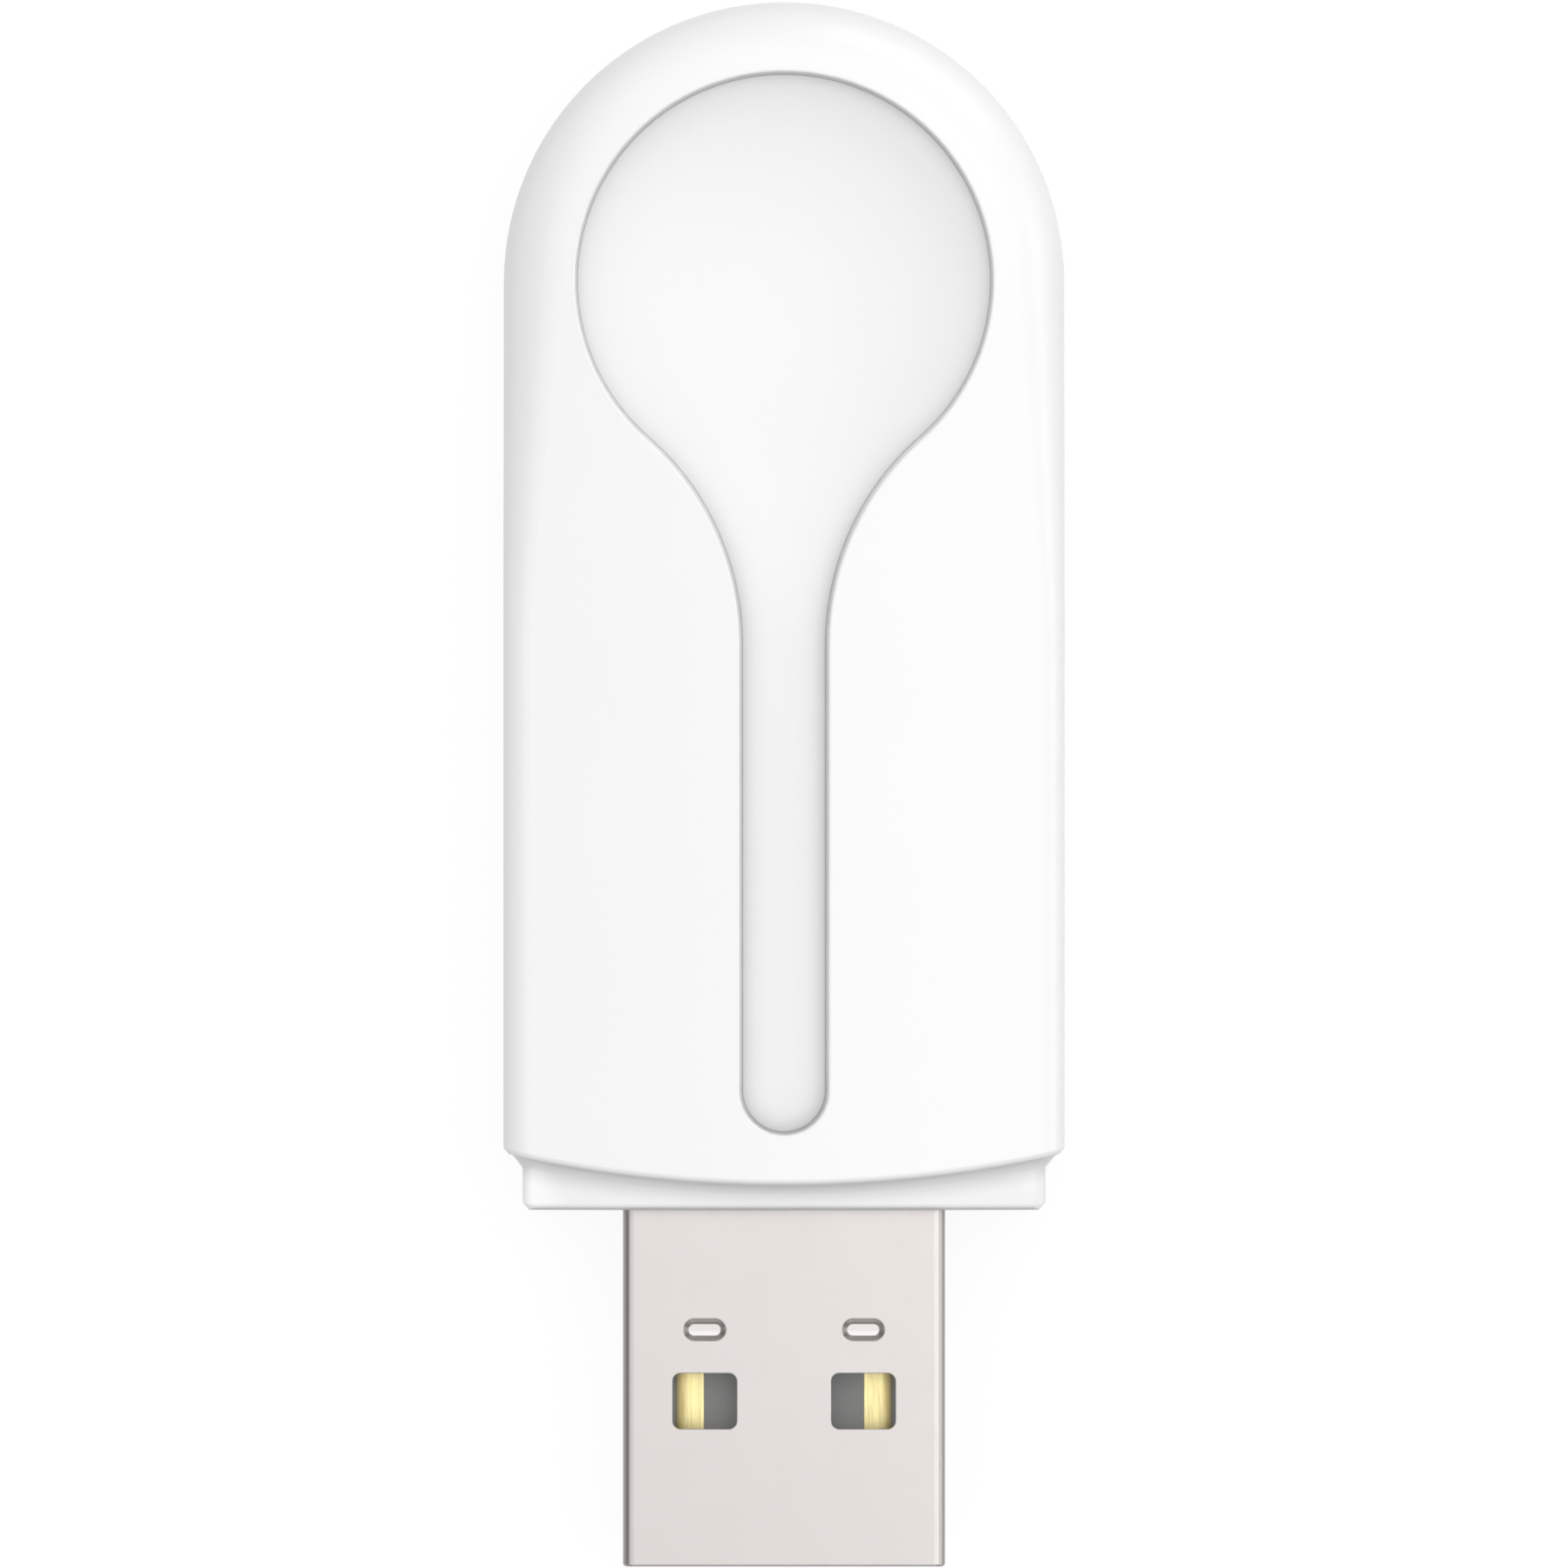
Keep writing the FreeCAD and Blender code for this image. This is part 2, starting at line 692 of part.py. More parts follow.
def circuit_board():
    board = round_ended_plate(board_half, board_start, board_bottom, board_thickness)
    hole_radius = pin_radius + pin_clearance
    holes = [upright(x, y, board_bottom, hole_radius, board_thickness) for x, y in post_places()]
    end = plug_seat_depth + leg_length
    gap = slot_clearance
    for side in (-1, 1):
        x0, x1 = sorted((side * plug_width / 2, side * (plug_width / 2 - sheet)))
        holes.append(block(x0 - gap, x1 + gap, end - prong_width - gap, end + gap, board_bottom, board_top))
    return board.cut(holes)


def printed_antenna():
    """Copper track that folds to and fro across the round end, with a feed and a ground leg."""
    left = -antenna_half
    right = antenna_half
    points = [(antenna_ground_x, antenna_foot), (antenna_ground_x, antenna_start)]
    for row in range(antenna_rows):
        y = antenna_start + row * antenna_pitch
        near, far = (left, right) if row % 2 == 0 else (right, left)
        if row > 0:
            points.append((near, y))
        points.append((far, y))
    track = thick_line(points, trace_width, board_top, copper)
    feed = thick_line([(antenna_feed_x, antenna_foot), (antenna_feed_x, antenna_start)],
                      trace_width, board_top, copper)
    return merged([track, feed])


# Electronic parts

def pad(x, y, width, length):
    return block(x - width / 2, x + width / 2, y - length / 2, y + length / 2, board_top, parts_seat)


def small_part(size, x, y):
    """Block with a metal cap on each end, longest along X."""
    length, width, height = size
    core = block(x - length / 2 + cap_length, x + length / 2 - cap_length,
                 y - width / 2 + cap_swell, y + width / 2 - cap_swell,
                 parts_seat + cap_swell, parts_seat + height - cap_swell)
    caps = []
    for side in (-1, 1):
        x0, x1 = sorted((x + side * length / 2, x + side * (length / 2 - cap_length)))
        caps.append(block(x0, x1, y - width / 2, y + width / 2, parts_seat, parts_seat + height))
    return merged([core] + caps)


def small_part_pads(size, x, y):
    length, width = size[:2]
    reach = length / 2 - cap_length / 2
    return [pad(x + side * reach, y, cap_length + 2 * pad_margin, width) for side in (-1, 1)]


def chip_leads(z0, z1, longer):
    """Flat leads along the chip's four sides and the heat pad in its middle."""
    cx, cy = radio_chip_spot
    reach = (radio_chip_size - lead_length) / 2
    half_length = lead_length / 2 + longer
    half_width_of_lead = lead_width / 2
    heat_half = radio_chip_size / 2 - 2 * lead_length
    leads = [block(cx - heat_half, cx + heat_half, cy - heat_half, cy + heat_half, z0, z1)]
    for i in range(leads_a_side):
        shift = (i - (leads_a_side - 1) / 2) * lead_pitch
        for side in (-1, 1):
            x, y = cx + side * reach, cy + shift
            leads.append(block(x - half_length, x + half_length,
                               y - half_width_of_lead, y + half_width_of_lead, z0, z1))
            x, y = cx + shift, cy + side * reach
            leads.append(block(x - half_width_of_lead, x + half_width_of_lead,
                               y - half_length, y + half_length, z0, z1))
    return leads


def radio_chip():
    cx, cy = radio_chip_spot
    half = radio_chip_size / 2
    low = parts_seat + chip_standoff
    body = block(cx - half, cx + half, cy - half, cy + half, low, parts_seat + radio_chip_height)
    return merged([body] + chip_leads(parts_seat, low, 0))


def gull_legs(size, spot, left_rows, right_rows):
    """Legs of a small moulded package: out of its side, down, and flat on the pad."""
    cx, cy = spot
    legs = []
    waist = parts_seat + package_height / 2
    out = size[0] / 2
    foot = out + gull_reach
    knee = out + gull_reach / 2
    for side, rows in ((-1, left_rows), (1, right_rows)):
        profile = [
            (out - gull_thickness, waist), (knee - gull_thickness, waist),
            (knee, parts_seat + gull_thickness), (foot, parts_seat + gull_thickness),
            (foot, parts_seat), (knee - gull_thickness, parts_seat),
            (knee - 2 * gull_thickness, waist - gull_thickness),
            (out - gull_thickness, waist - gull_thickness),
        ]
        for row in rows:
            y = cy + row - gull_width / 2
            points = [Vector(cx + side * px, y, pz) for px, pz in profile]
            outline = Part.Face(Part.makePolygon(points + points[:1]))
            legs.append(outline.extrude(Vector(0, gull_width, 0)))
    return legs


def gull_pads(size, spot, left_rows, right_rows):
    cx, cy = spot
    reach = size[0] / 2 + gull_reach * 3 / 4
    pads = []
    for side, rows in ((-1, left_rows), (1, right_rows)):
        for row in rows:
            pads.append(pad(cx + side * reach, cy + row, gull_reach, gull_width + pad_margin))
    return pads


def gull_package(size, spot, left_rows, right_rows):
    cx, cy = spot
    low = parts_seat + gull_thickness / 2
    body = block(cx - size[0] / 2, cx + size[0] / 2, cy - size[1] / 2, cy + size[1] / 2,
                 low, parts_seat + package_height)
    return merged([body] + gull_legs(size, spot, left_rows, right_rows))


def crystal():
    """Ceramic tray with a slightly smaller metal lid."""
    cx, cy = crystal_spot
    width, length = crystal_size
    rim = parts_seat + crystal_tray_height
    tray = block(cx - width / 2, cx + width / 2, cy - length / 2, cy + length / 2, parts_seat, rim)
    lid = rounded_rectangle(width - 2 * lid_margin, length - 2 * lid_margin, lid_margin, cx, cy, rim)
    return merged([tray, lid.extrude(Vector(0, 0, crystal_height - crystal_tray_height))])


def crystal_pads():
    cx, cy = crystal_spot
    width, length = crystal_size
    reach_x = width / 2 - crystal_pad / 2 + pad_margin
    reach_y = length / 2 - crystal_pad / 2 + pad_margin
    return [pad(cx + sx * reach_x, cy + sy * reach_y, crystal_pad, crystal_pad)
            for sx in (-1, 1) for sy in (-1, 1)]


def tail_span(beyond):
    """Middle and length along Y of what lies under a contact's tail and runs that far beyond it."""
    start = board_start + pad_margin
    end = plug_seat_depth + tail_length + beyond
    return (start + end) / 2, end - start


def copper_pads():
    pads = chip_leads(board_top, parts_seat, pad_margin) + crystal_pads()
    pads += gull_pads(regulator_size, regulator_spot, *regulator_rows)
    pads += gull_pads(diode_size, diode_spot, *diode_rows)
    pads += small_part_pads(input_capacitor_size, *input_capacitor_spot)
    pads += small_part_pads(bead_size, *bead_spot)
    for spots in (capacitor_spots, resistor_spots, inductor_spots):
        for x, y in spots:
            pads += small_part_pads(small_size, x, y)
    y, length = tail_span(solder_spread + pad_margin)
    for x, _ in contact_columns.values():
        pads.append(pad(x, y, contact_width + 2 * solder_spread, length))
    return Part.makeCompound(pads)


def solder_joints(contacts, shell):
    joints = []
    y, length = tail_span(solder_spread)
    for x, _ in contact_columns.values():
        bead = tapered_block(contact_width + 2 * solder_spread, length, solder_slope,
                             x, y, parts_seat, solder_height)
        joints += bead.cut(contacts).Solids
    y = plug_seat_depth + leg_length - prong_width / 2
    spread = slot_clearance + solder_spread
    for side in (-1, 1):
        bead = tapered_block(sheet + 2 * spread, prong_width + 2 * spread, solder_slope,
                             side * (plug_width - sheet) / 2, y, board_bottom, -solder_rise)
        joints += bead.cut(shell).Solids
    return Part.makeCompound(joints)


def same_parts(size, spots):
    return Part.makeCompound([small_part(size, x, y) for x, y in spots])


def all_pieces():
    outer = finished_outer_form()
    cavity = housing_cavity()
    contacts = {name: contact(x, from_tip) for name, (x, from_tip) in contact_columns.items()}
    shell = plug_shell()
    pieces = {
        "front_shell": front_shell(outer, cavity),
        "rear_shell": rear_shell(outer, cavity),
        "plug_shell": shell,
        "plug_insulator": plug_insulator(contacts.values()),
        "circuit_board": circuit_board(),
        "copper_pads": copper_pads(),
        "printed_antenna": printed_antenna(),
        "radio_chip": radio_chip(),
        "crystal": crystal(),
        "voltage_regulator": gull_package(regulator_size, regulator_spot, *regulator_rows),
        "surge_diode": gull_package(diode_size, diode_spot, *diode_rows),
        "input_capacitor": small_part(input_capacitor_size, *input_capacitor_spot),
        "ferrite_bead": small_part(bead_size, *bead_spot),
        "small_capacitors": same_parts(small_size, capacitor_spots),
        "resistors": same_parts(small_size[:2] + (resistor_height,), resistor_spots),
        "matching_inductors": same_parts(small_size, inductor_spots),
        "solder_joints": solder_joints(list(contacts.values()), shell),
    }
    pieces.update(contacts)
    return pieces


def main():
    os.makedirs("parts", exist_ok=True)
    middle = (housing_length - plug_reach) / 2
    for name, shape in all_pieces().items():
        shape.translate(Vector(0, -middle, 0))
        shape.exportStep(f"parts/{name}.step")
        print(f"{name}: {len(shape.Solids)} solid(s), {shape.Volume:.3f} mm3, valid {shape.isValid()}")


if __name__ == "__main__":
    main()
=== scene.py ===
"""A white USB radio stick that lies on its back, seen from straight above its front."""

import math

import bmesh
import bpy
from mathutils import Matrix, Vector

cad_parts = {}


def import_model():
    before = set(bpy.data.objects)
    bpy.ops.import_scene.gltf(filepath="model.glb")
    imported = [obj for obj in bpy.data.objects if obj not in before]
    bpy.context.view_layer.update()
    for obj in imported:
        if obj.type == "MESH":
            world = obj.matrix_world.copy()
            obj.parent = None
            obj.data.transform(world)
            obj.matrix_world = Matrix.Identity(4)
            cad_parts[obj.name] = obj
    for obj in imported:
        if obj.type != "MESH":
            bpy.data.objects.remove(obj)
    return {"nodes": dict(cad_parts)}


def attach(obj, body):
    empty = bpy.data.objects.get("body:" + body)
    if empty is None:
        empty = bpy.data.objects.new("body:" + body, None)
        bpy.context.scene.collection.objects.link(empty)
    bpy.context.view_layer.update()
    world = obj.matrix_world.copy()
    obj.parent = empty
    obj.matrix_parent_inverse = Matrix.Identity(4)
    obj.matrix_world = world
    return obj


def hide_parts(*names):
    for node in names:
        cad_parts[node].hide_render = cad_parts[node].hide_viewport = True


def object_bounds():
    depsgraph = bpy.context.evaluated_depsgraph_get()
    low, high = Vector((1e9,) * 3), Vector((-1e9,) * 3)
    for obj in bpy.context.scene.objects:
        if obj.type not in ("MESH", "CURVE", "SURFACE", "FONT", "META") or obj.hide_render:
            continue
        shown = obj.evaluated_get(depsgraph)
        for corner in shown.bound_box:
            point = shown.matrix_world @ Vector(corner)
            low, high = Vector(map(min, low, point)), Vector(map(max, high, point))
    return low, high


MM = 0.001

# The photograph's square frame, centred on the stick, and the long lens that takes it
FRAME_SIDE = 58.38 * MM
FOCUS_HEIGHT = 7.0 * MM
LENS = 500.0
SENSOR = 36.0

# White plastic: its colour, and the painted shade and painted light that it takes where the form shelters
# it
WHITE = (0.88, 0.88, 0.88)
WHITE_ROUGH = 0.30
CREASE_PAINTED_SHADE = (0.64, 0.64, 0.64)
CREASE_REACH = 2.0 * MM
SUNK_WALL_PAINTED_SHADE = (0.33, 0.33, 0.33)
BOWL_RIM_PAINTED_SHADE = (0.79, 0.79, 0.79)
BOWL_REACH = 6.0 * MM
COVE_SHADE = (0.70, 0.70, 0.70)
COLLAR_PAINTED_LIGHT = (0.97, 0.97, 0.97)
SHOULDER_CENTRE = 32.5 * MM
SHOULDER_RADIUS = 47.4 * MM

# Soft steps over the white plastic, each with its middle and half its width
TOP_FACING = (0.55, 0.3)
WALL_OPEN = (0.73, 0.14)
BOWL_ROWS = (11.0 * MM, 5.0 * MM)
FACE_LEVEL = 8.1 * MM
BELOW_FACE = (0, 0.1 * MM)
BOWL_OPEN = (0.96, 0.04)
COLLAR_EDGE = (0.02 * MM, 0.02 * MM)
COLLAR_FACING = (0.3, 0.2)
COVE_FADE = (0.55 * MM, 0.5 * MM)

# Plated steel, with painted shade where the sheet is bent, a painted highlight along the right bend, and
# painted light and shade where it is pressed in
STEEL = (0.506, 0.481, 0.466)
STEEL_ROUGH = 0.30
STEEL_PAINTED_SHADE = (0.32, 0.305, 0.295)
STEEL_PAINTED_HIGHLIGHT = (0.74, 0.71, 0.69)
DENT_PAINTED_HIGHLIGHT = (0.62, 0.60, 0.585)
BEND_X = 5.66 * MM
BEND_EDGE = (BEND_X, 0.02 * MM)
BEND_FACING = (0.82, 0.07)
SIDE_FACING = (0.1, 0.08)
HIGHLIGHT_EDGE = (BEND_X + 0.05 * MM, 0.04 * MM)
HIGHLIGHT_FACING = (0.86, 0.03)
EDGE_ROUND = 0.07 * MM
PLUG_AXIS = 4.4 * MM
PLUG_MIDDLE = -22.0 * MM
DENT_FLOOR = 2.0 * MM
DENT_BOTTOM = (DENT_FLOOR - 0.02 * MM, 0.01 * MM)
DENT_FOOT = (DENT_FLOOR + 0.06 * MM, 0.03 * MM)
DENT_ROW = -20.33 * MM
DENT_LOWER_HALF = (0.06 * MM, 0.1 * MM)
DENT_UPPER_STRIP = (0.21 * MM, 0.04 * MM)

# Gold plating, with painted shade along the contacts' outer edges, and the insulator's grey plastic
GOLD = (0.88, 0.76, 0.38)
GOLD_PAINTED_SHADE = (0.30, 0.23, 0.10)
GOLD_EDGE = (3.78 * MM, 0.25 * MM)
GREY = (0.46, 0.46, 0.46)

# The widest surfaces that count as chamfers on the housing, the plug and the contacts
HOUSING_CHAMFER = 0.65 * MM
PLUG_CHAMFER = 0.15 * MM
CONTACT_CHAMFER = 0.1 * MM

# How nearly normals agree in one smooth surface, and how far a chamfer's may be turned to shade round
SAME_SURFACE = math.cos(math.radians(4.0))
CHAMFER_TURN = math.cos(math.radians(60.0))

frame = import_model()
cad_low, cad_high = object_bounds()


# A small language for materials: numbers that change over a surface, and the nodes that make them

def toned(colour, share):
    """A colour made darker or lighter."""
    return tuple(channel * share for channel in colour)


class Number:
    """A node's number output. A sum written on it adds the Math node that works it out."""

    def __init__(self, finish, socket):
        self.finish = finish
        self.socket = socket

    def worked_out(self, operation, *numbers):
        return self.finish.node("ShaderNodeMath", {"operation": operation}, dict(enumerate(numbers)))

    def __add__(self, other):
        return self.worked_out("ADD", self, other)

    def __radd__(self, other):
        return self.worked_out("ADD", other, self)

    def __sub__(self, other):
        return self.worked_out("SUBTRACT", self, other)

    def __rsub__(self, other):
        return self.worked_out("SUBTRACT", other, self)

    def __mul__(self, other):
        return self.worked_out("MULTIPLY", self, other)

    def __rmul__(self, other):
        return self.worked_out("MULTIPLY", other, self)

    def __abs__(self):
        return self.worked_out("ABSOLUTE", self)

    def above(self, edge, softness):
        """0 below the edge and 1 above it, with a soft step between."""
        spread = {"interpolation_type": "SMOOTHSTEP"}
        limits = {"Value": self, "From Min": edge - softness, "From Max": edge + softness}
        return self.finish.node("ShaderNodeMapRange", spread, limits)


class Finish:
    """A material under construction, with its Principled shader."""

    def __init__(self, name):
        self.material = bpy.data.materials.new(name)
        self.material.use_nodes = True
        self.nodes = self.material.node_tree.nodes
        self.links = self.material.node_tree.links
        self.shader = self.nodes["Principled BSDF"]
        self.place = self.node("ShaderNodeTexCoord", {}, {}, "Object")

    def node(self, kind, settings, inputs, output=0):
        """Adds a node and gives one of its outputs."""
        made = self.nodes.new(kind)
        for name, value in settings.items():
            setattr(made, name, value)
        for name, value in inputs.items():
            self.feed(made.inputs[name], value)
        return Number(self, made.outputs[output])

    def feed(self, socket, value):
        if isinstance(value, Number):
            self.links.new(value.socket, socket)
        else:
            socket.default_value = value

    def set(self, **values):
        """Feeds the shader's own sockets; Base_Color stands for Base Color."""
        for name, value in values.items():
            self.feed(self.shader.inputs[name.replace("_", " ")], value)

    def axis(self, name):
        return self.node("ShaderNodeSeparateXYZ", {}, {"Vector": self.place}, name)

    def facing(self, name):
        """How far the surface faces along one of the object's axes."""
        normal = self.node("ShaderNodeTexCoord", {}, {}, "Normal")
        return self.node("ShaderNodeSeparateXYZ", {}, {"Vector": normal}, name)

    def stretched(self, x, y, z):
        """The object's own coordinates, scaled along each axis."""
        return self.node("ShaderNodeMapping", {}, {"Vector": self.place, "Scale": (x, y, z)})

    def noise(self, scale, detail=2.0, rough=0.5, where=None):
        values = {"Vector": where or self.place, "Scale": scale, "Detail": detail, "Roughness": rough}
        return self.node("ShaderNodeTexNoise", {}, values, "Fac")

    def blend(self, share, first, second):
        """A colour between two others."""
        first, second = [c if isinstance(c, Number) else (*c, 1.0) for c in (first, second)]
        values = {"Factor": share, 6: first, 7: second}
        return self.node("ShaderNodeMix", {"data_type": "RGBA"}, values, 2)

    def openness(self, reach):
        """1 on open surfaces, and less in corners and at the foot of walls, within a reach."""
        settings = {"samples": 12, "only_local": True}
        return self.node("ShaderNodeAmbientOcclusion", settings, {"Distance": reach}, "AO")

    def bump(self, height, distance, strength=1.0, under=None):
        values = {"Height": height, "Distance": distance, "Strength": strength}
        if under:
            values["Normal"] = under
        return self.node("ShaderNodeBump", {}, values)


def white_plastic():
    """Satin moulded plastic: fine grain, a slow drift in tone, painted shade where the form shelters it,
    and a painted lighter collar.
    """
    finish = Finish("satin white plastic")
    grain = finish.noise(9000.0, 3.0, 0.6)
    clean = finish.blend(finish.noise(140.0, 2.0), toned(WHITE, 0.985), WHITE)

    # Painted shade in corners and creases, and painted shade on the walls around the recess
    openness = finish.openness(CREASE_REACH)
    crease_shaded = finish.blend(openness, CREASE_PAINTED_SHADE, clean)
    wall_shade = (1 - abs(finish.facing("Z")).above(*TOP_FACING)) * (1 - openness.above(*WALL_OPEN))

    # Painted shade: the dished bowl's colour darkens slowly towards its rim
    bowl = finish.axis("Y").above(*BOWL_ROWS) * (FACE_LEVEL - finish.axis("Z")).above(*BELOW_FACE)
    bowl_rim_shade = bowl * (1 - finish.openness(BOWL_REACH).above(*BOWL_OPEN))
    recess_shaded = finish.blend(bowl_rim_shade, crease_shaded, BOWL_RIM_PAINTED_SHADE)

    # Painted shade on the collar's face under the round shoulder's brow, fading to a painted lighter tone
    # away from it
    ends = {0: finish.stretched(1.0, 1.0, 0.0), 1: (0.0, SHOULDER_CENTRE, 0.0)}
    distance = finish.node("ShaderNodeVectorMath", {"operation": "DISTANCE"}, ends, "Value")
    past_shoulder = distance - SHOULDER_RADIUS
    collar = past_shoulder.above(*COLLAR_EDGE) * finish.facing("Z").above(*COLLAR_FACING)
    cove_shading = finish.blend(past_shoulder.above(*COVE_FADE), COVE_SHADE, COLLAR_PAINTED_LIGHT)
    shaded = finish.blend(collar, recess_shaded, cove_shading)

    finish.set(
        Base_Color=finish.blend(wall_shade, shaded, SUNK_WALL_PAINTED_SHADE),
        Roughness=WHITE_ROUGH + 0.03 * (grain - 0.5),
        Normal=finish.bump(grain, 0.002 * MM, 0.12),
        IOR=1.49,
    )
    return finish.material


def plated_steel():
    """Nickel-plated sheet: fine rolling lines along the plug, a cloudy plating, painted shade that makes it
    darker where it is bent, and painted highlights on its right bend and dent floors.
    """
    finish = Finish("nickel-plated steel")
    lines = finish.noise(1.0, 4.0, 0.6, finish.stretched(9000.0, 350.0, 9000.0))
    clouds = finish.noise(700.0, 3.0)
    drift = 0.5 + 30.0 * finish.axis("X") + 35.0 * (finish.axis("Y") - PLUG_MIDDLE)
    plating = finish.blend(drift, toned(STEEL, 0.93), toned(STEEL, 1.05))
    plating = finish.blend(clouds.above(0.5, 0.3) * 0.2, plating, toned(STEEL, 0.93))

    # Painted highlight on the dents' floors, most in their lower half, and painted shade under their upper
    # walls
    off_axis = abs(finish.axis("Z") - PLUG_AXIS)
    pressed = off_axis.above(*DENT_BOTTOM) - off_axis.above(*DENT_FOOT)
    lower_half = (DENT_ROW - finish.axis("Y")).above(*DENT_LOWER_HALF)
    plating = finish.blend(pressed * (0.25 + 0.75 * lower_half), plating, DENT_PAINTED_HIGHLIGHT)
    upper_strip = (finish.axis("Y") - DENT_ROW).above(*DENT_UPPER_STRIP)
    plating = finish.blend(pressed * upper_strip * 0.8, plating, STEEL_PAINTED_SHADE)

    # Painted highlight where the right bend starts, and painted shade at the middle of both bends
    upright = abs(finish.facing("Z"))
    bend_highlight = upright.above(*HIGHLIGHT_FACING) * finish.axis("X").above(*HIGHLIGHT_EDGE)
    plating = finish.blend(bend_highlight, plating, STEEL_PAINTED_HIGHLIGHT)
    bend_shade = (1 - upright.above(*BEND_FACING)) * upright.above(*SIDE_FACING)
    bend_shade = bend_shade * abs(finish.axis("X")).above(*BEND_EDGE)

    rounded = finish.node("ShaderNodeBevel", {"samples": 6}, {"Radius": EDGE_ROUND})
    finish.set(
        Base_Color=finish.blend(bend_shade, plating, STEEL_PAINTED_SHADE),
        Metallic=1.0,
        Roughness=STEEL_ROUGH + 0.08 * (lines - 0.5) + 0.05 * (clouds - 0.5),
        Normal=finish.bump(lines, 0.0006 * MM, 0.3, rounded),
    )
    return finish.material


def gold_plating():
    """Gold-plated contact: drawn streaks along it, bright and dull side by side, with painted shade at its
    outer edge.
    """
    finish = Finish("gold plating")
    streaks = finish.noise(1.0, 4.0, 0.65, finish.stretched(9000.0, 500.0, 9000.0))
    streaked = finish.blend(streaks.above(0.55, 0.2), GOLD, toned(GOLD, 0.78))
    # Painted shade along the contacts' outer edges
    outer_edge = abs(finish.axis("X")).above(*GOLD_EDGE)
    finish.set(
        Base_Color=finish.blend(outer_edge, streaked, GOLD_PAINTED_SHADE),
        Metallic=1.0,
        Roughness=0.26 + 0.20 * streaks,
        Normal=finish.bump(streaks, 0.005 * MM, 0.6),
    )
    return finish.material


def moulded(name, colour, rough, scale, depth):
    """Plain moulded or fired material with a fine grain."""
    finish = Finish(name)
    grain = finish.noise(scale, 3.0)
    finish.set(
        Base_Color=finish.blend(grain, toned(colour, 0.88), colour),
        Roughness=rough + 0.12 * (grain - 0.5),
        Normal=finish.bump(grain, depth, 0.5),
    )
    return finish.material


def metal(name, colour, rough):
    """Plain metal with a cloudy finish."""
    finish = Finish(name)
    cloud = finish.noise(3000.0, 3.0)
    finish.set(
        Base_Color=finish.blend(cloud, toned(colour, 0.9), colour),
        Metallic=1.0,
        Roughness=rough + 0.15 * (cloud - 0.5),
        Normal=finish.bump(cloud, 0.004 * MM, 0.5),
    )
    return finish.material


def laminate():
    """Green circuit board: solder mask over woven glass."""
    finish = Finish("circuit board")
    threads = {"Vector": finish.place, "Scale": 900.0}
    warp = finish.node("ShaderNodeTexWave", {"bands_direction": "X"}, threads, "Fac")
    weft = finish.node("ShaderNodeTexWave", {"bands_direction": "Y"}, threads, "Fac")
    cloth = warp * weft
    finish.set(
        Base_Color=finish.blend(cloth, (0.015, 0.12, 0.045), (0.03, 0.19, 0.075)),
        Roughness=0.32 + 0.1 * cloth,
        Normal=finish.bump(cloth, 0.004 * MM, 0.4),
    )
    return finish.material


# Pieces

def same_surface(edge, normal):
    """Whether two triangles carry on across an edge without a crease."""
    if len(edge.link_loops) != 2:
        return False
    first, second = edge.link_loops
    ends = ((first, second.link_loop_next), (first.link_loop_next, second))
    return all(one[normal].dot(other[normal]) > SAME_SURFACE for one, other in ends)


def surfaces(shape, normal):
    """The faces in groups that no crease divides, each with its width."""
    waiting = set(shape.faces)
    found = []
    while waiting:
        reached = [waiting.pop()]
        for face in reached:
            for edge in face.edges:
                for other in edge.link_faces:
                    if other in waiting and same_surface(edge, normal):
                        waiting.remove(other)
                        reached.append(other)
        inside = set(reached)
        rim = sum(edge.calc_length() for face in reached for edge in face.edges
                  if any(other not in inside for other in edge.link_faces))
        area = sum(face.calc_area() for face in reached)
        found.append((reached, 2 * area / rim if rim else math.inf))
    return found


def round_chamfers(shape, normal, chamfer_width):
    """Turns the normals at a narrow chamfer's edges to its neighbours', so that it shades as a round."""
    place = {}
    for number, (faces, width) in enumerate(surfaces(shape, normal)):
        for face in faces:
            place[face] = (number, width < chamfer_width)
    turned = []
    for corner in [corner for face in shape.faces if place[face][1] for corner in face.loops]:
        about = {}
        for other in corner.vert.link_loops:
            number, narrow = place[other.face]
            if other[normal].dot(corner[normal]) > CHAMFER_TURN:
                about.setdefault((narrow, number), other[normal].copy())
        wide = [about[key] for key in about if not key[0]]
        if wide:
            turned.append((corner, max(wide, key=corner[normal].dot)))
        else:
            turned.append((corner, sum(about.values(), Vector()).normalized()))
    for corner, direction in turned:
        corner[normal] = direction


def joined(name, material, chamfer_width):
    """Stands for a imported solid: its triangles joined, its own normals kept and its chamfers rounded."""
    packed = frame["nodes"][name].data
    directions = [corner.vector.copy() for corner in packed.corner_normals]
    shape = bmesh.new()
    shape.from_mesh(packed)
    normal = shape.loops.layers.float_vector.new("true normal")
    corners = [corner for face in shape.faces for corner in face.loops]
    for corner, direction in zip(corners, directions):
        corner[normal] = direction
    bmesh.ops.remove_doubles(shape, verts=shape.verts, dist=0.0002 * MM)
    round_chamfers(shape, normal, chamfer_width)
    directions = [corner[normal].copy() for face in shape.faces for corner in face.loops]
    shape.loops.layers.float_vector.remove(normal)
    mesh = bpy.data.meshes.new(name + "_dressed")
    shape.to_mesh(mesh)
    shape.free()
    mesh.shade_smooth()
    mesh.normals_split_custom_set(directions)
    mesh.materials.append(material)
    piece = bpy.data.objects.new(name + "_dressed", mesh)
    bpy.context.scene.collection.objects.link(piece)
    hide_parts(name)
    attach(piece, "root")
    return piece


def painted(name, material):
    """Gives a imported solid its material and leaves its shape."""
    mesh = frame["nodes"][name].data
    mesh.materials.clear()
    mesh.materials.append(material)


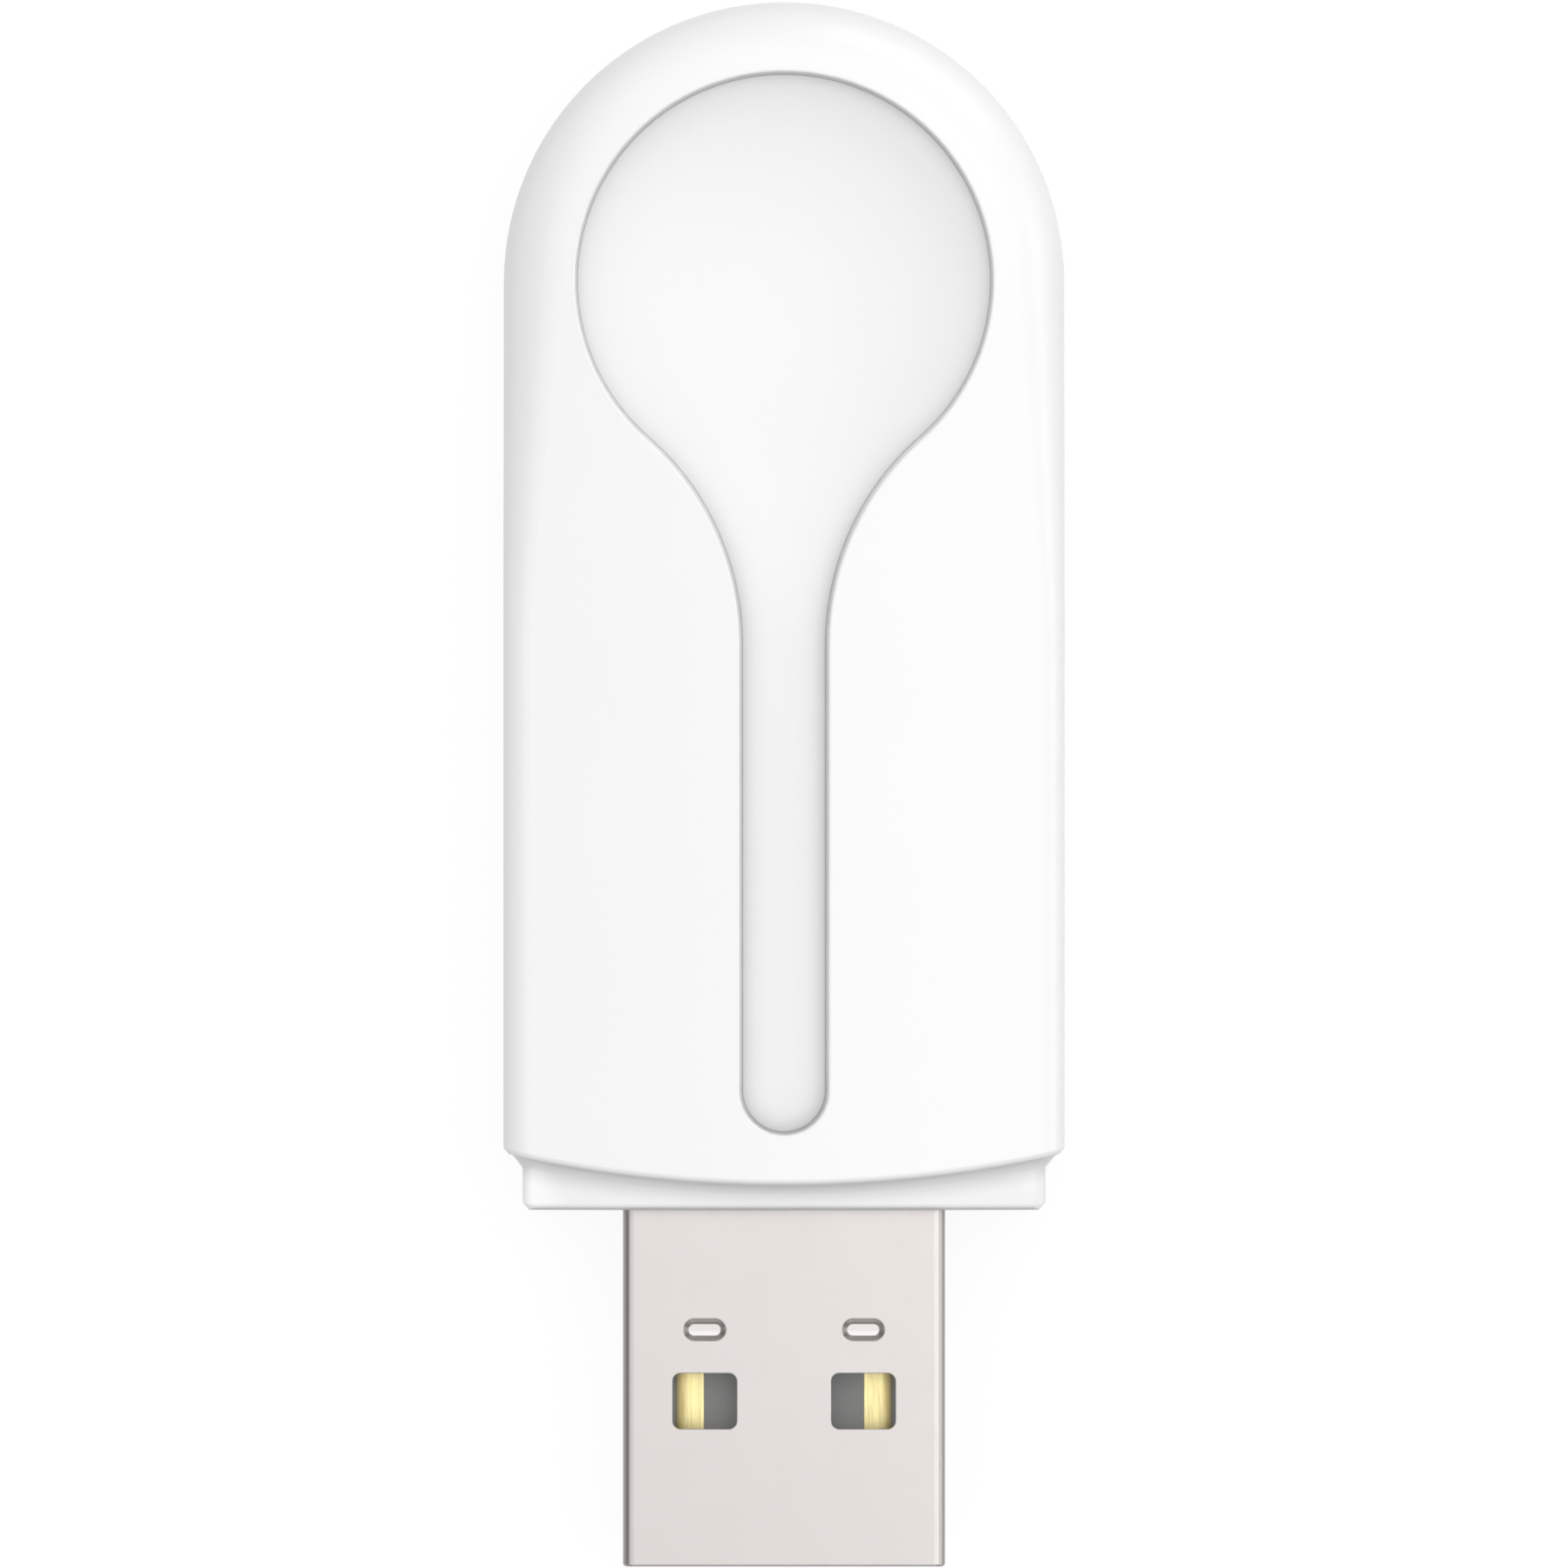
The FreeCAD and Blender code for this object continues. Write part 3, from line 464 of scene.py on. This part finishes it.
def dress():
    """Gives every piece its finish; the pieces that show are joined and smoothed first."""
    white = white_plastic()
    joined("front_shell", white, HOUSING_CHAMFER)
    joined("rear_shell", white, HOUSING_CHAMFER)
    joined("plug_shell", plated_steel(), PLUG_CHAMFER)
    insulator = moulded("grey insulator", GREY, 0.5, 4000.0, 0.004 * MM)
    joined("plug_insulator", insulator, PLUG_CHAMFER)
    gold = gold_plating()
    for name in ("contact_power", "contact_data_minus", "contact_data_plus", "contact_ground"):
        joined(name, gold, CONTACT_CHAMFER)

    painted("circuit_board", laminate())
    painted("copper_pads", metal("gold-flashed pads", GOLD, 0.3))
    painted("printed_antenna", metal("gold-flashed track", GOLD, 0.3))
    painted("crystal", metal("crystal can", (0.75, 0.73, 0.68), 0.3))
    painted("solder_joints", metal("solder", (0.72, 0.72, 0.70), 0.25))
    black = moulded("black package", (0.02, 0.02, 0.022), 0.5, 6000.0, 0.004 * MM)
    for name in ("radio_chip", "voltage_regulator", "surge_diode"):
        painted(name, black)
    for name, finish_name, colour, rough in (
        ("input_capacitor", "tan ceramic", (0.42, 0.28, 0.16), 0.5),
        ("small_capacitors", "brown ceramic", (0.35, 0.22, 0.13), 0.5),
        ("resistors", "resistor black", (0.03, 0.03, 0.035), 0.45),
        ("matching_inductors", "pale ceramic", (0.6, 0.62, 0.6), 0.5),
        ("ferrite_bead", "ferrite", (0.08, 0.08, 0.085), 0.55),
    ):
        painted(name, moulded(finish_name, colour, rough, 5000.0, 0.003 * MM))


# Studio

FLOOR_HALF = 1.5
FLOOR_GAP = 0.02 * MM
FLOOR_GLOW = 0.89
FLOOR_COLOUR = 0.13
BOUNCE_COLOUR = 0.40
SKY_STOPS = ((0.15, 0.42), (0.5, 0.10), (0.85, 1.35))
LAMP_DISTANCE = 1.2


def floor():
    """Plain white sheet: it shows white to the camera, and keeps the stick's shadow."""
    shape = bmesh.new()
    bmesh.ops.create_grid(shape, x_segments=1, y_segments=1, size=FLOOR_HALF)
    bmesh.ops.translate(shape, verts=shape.verts, vec=(0, 0, cad_low.z - FLOOR_GAP))
    mesh = bpy.data.meshes.new("floor")
    shape.to_mesh(mesh)
    shape.free()
    sheet = bpy.data.objects.new("floor", mesh)
    bpy.context.scene.collection.objects.link(sheet)
    finish = Finish("white sheet")
    path = finish.nodes.new("ShaderNodeLightPath")
    seen = Number(finish, path.outputs["Is Camera Ray"]) + Number(finish, path.outputs["Is Glossy Ray"])
    seen = seen + Number(finish, path.outputs["Is Transmission Ray"])
    bounce = finish.node("ShaderNodeBsdfDiffuse", {}, {"Color": (BOUNCE_COLOUR,) * 3 + (1.0,)})
    matt = finish.node("ShaderNodeBsdfDiffuse", {}, {"Color": (FLOOR_COLOUR,) * 3 + (1.0,)})
    glow = finish.node("ShaderNodeEmission", {}, {"Strength": FLOOR_GLOW})
    shown = finish.node("ShaderNodeAddShader", {}, {0: matt, 1: glow})
    result = finish.node("ShaderNodeMixShader", {}, {0: seen, 1: bounce, 2: shown})
    finish.feed(finish.nodes["Material Output"].inputs["Surface"], result)
    finish.nodes.remove(finish.shader)
    mesh.materials.append(finish.material)


def world():
    """Even soft light from overhead that falls off towards the horizon, and white to the camera."""
    sky = bpy.data.worlds.new("studio")
    sky.use_nodes = True
    bpy.context.scene.world = sky
    nodes, links = sky.node_tree.nodes, sky.node_tree.links
    place = nodes.new("ShaderNodeTexCoord")
    parts = nodes.new("ShaderNodeSeparateXYZ")
    links.new(place.outputs["Generated"], parts.inputs["Vector"])
    bands = nodes.new("ShaderNodeValToRGB")
    bands.color_ramp.interpolation = "EASE"
    bands.color_ramp.elements.new(0.5)
    for element, (position, light) in zip(bands.color_ramp.elements, SKY_STOPS):
        element.position = position
        element.color = (light, light, light, 1.0)
    links.new(parts.outputs["Z"], bands.inputs["Fac"])
    path = nodes.new("ShaderNodeLightPath")
    shown = nodes.new("ShaderNodeMix")
    shown.data_type = "RGBA"
    links.new(path.outputs["Is Camera Ray"], shown.inputs["Factor"])
    links.new(bands.outputs["Color"], shown.inputs[6])
    shown.inputs[7].default_value = (1.0, 1.0, 1.0, 1.0)
    links.new(shown.outputs[2], nodes["Background"].inputs["Color"])


def softbox(name, azimuth, height, width, length, power):
    """Lamp that faces the stick; azimuth 0 is over the plug and 90 to the right, height is an angle."""
    lamp = bpy.data.lights.new(name, "AREA")
    lamp.shape = "RECTANGLE"
    lamp.size, lamp.size_y = width, length
    lamp.energy = power
    holder = bpy.data.objects.new(name, lamp)
    bpy.context.scene.collection.objects.link(holder)
    turn, rise = math.radians(azimuth), math.radians(height)
    towards = Vector((math.sin(turn) * math.cos(rise), -math.cos(turn) * math.cos(rise), math.sin(rise)))
    holder.location = LAMP_DISTANCE * towards
    holder.rotation_euler = (math.pi / 2 - rise, 0, turn)


def lamps():
    """Low lamps shape the rounded sides, and the two overhead ones show as gloss on the face."""
    softbox("right low", 90, 12, 0.9, 0.5, 2.7)
    softbox("right", 90, 42, 0.9, 0.9, 0.8)
    softbox("upper right", 150, 14, 0.9, 0.55, 3.5)
    softbox("upper left", 215, 25, 0.9, 0.9, 1.9)
    softbox("lower left", 300, 20, 0.9, 0.9, 1.35)
    softbox("overhead", 135, 74, 0.62, 0.62, 0.58)
    softbox("overhead right", 90, 76, 0.5, 0.5, 0.34)


def camera():
    """Long lens straight above, so that the picture has next to no perspective."""
    view = bpy.data.cameras.new("camera")
    view.sensor_width = SENSOR
    view.lens = LENS
    distance = FRAME_SIDE * LENS / SENSOR
    view.clip_start, view.clip_end = distance / 10, distance * 10
    holder = bpy.data.objects.new("camera", view)
    holder.location = (0, 0, FOCUS_HEIGHT + distance)
    bpy.context.scene.collection.objects.link(holder)
    bpy.context.scene.camera = holder


dress()
floor()
world()
lamps()
camera()
bpy.context.scene.view_settings.view_transform = "Standard"
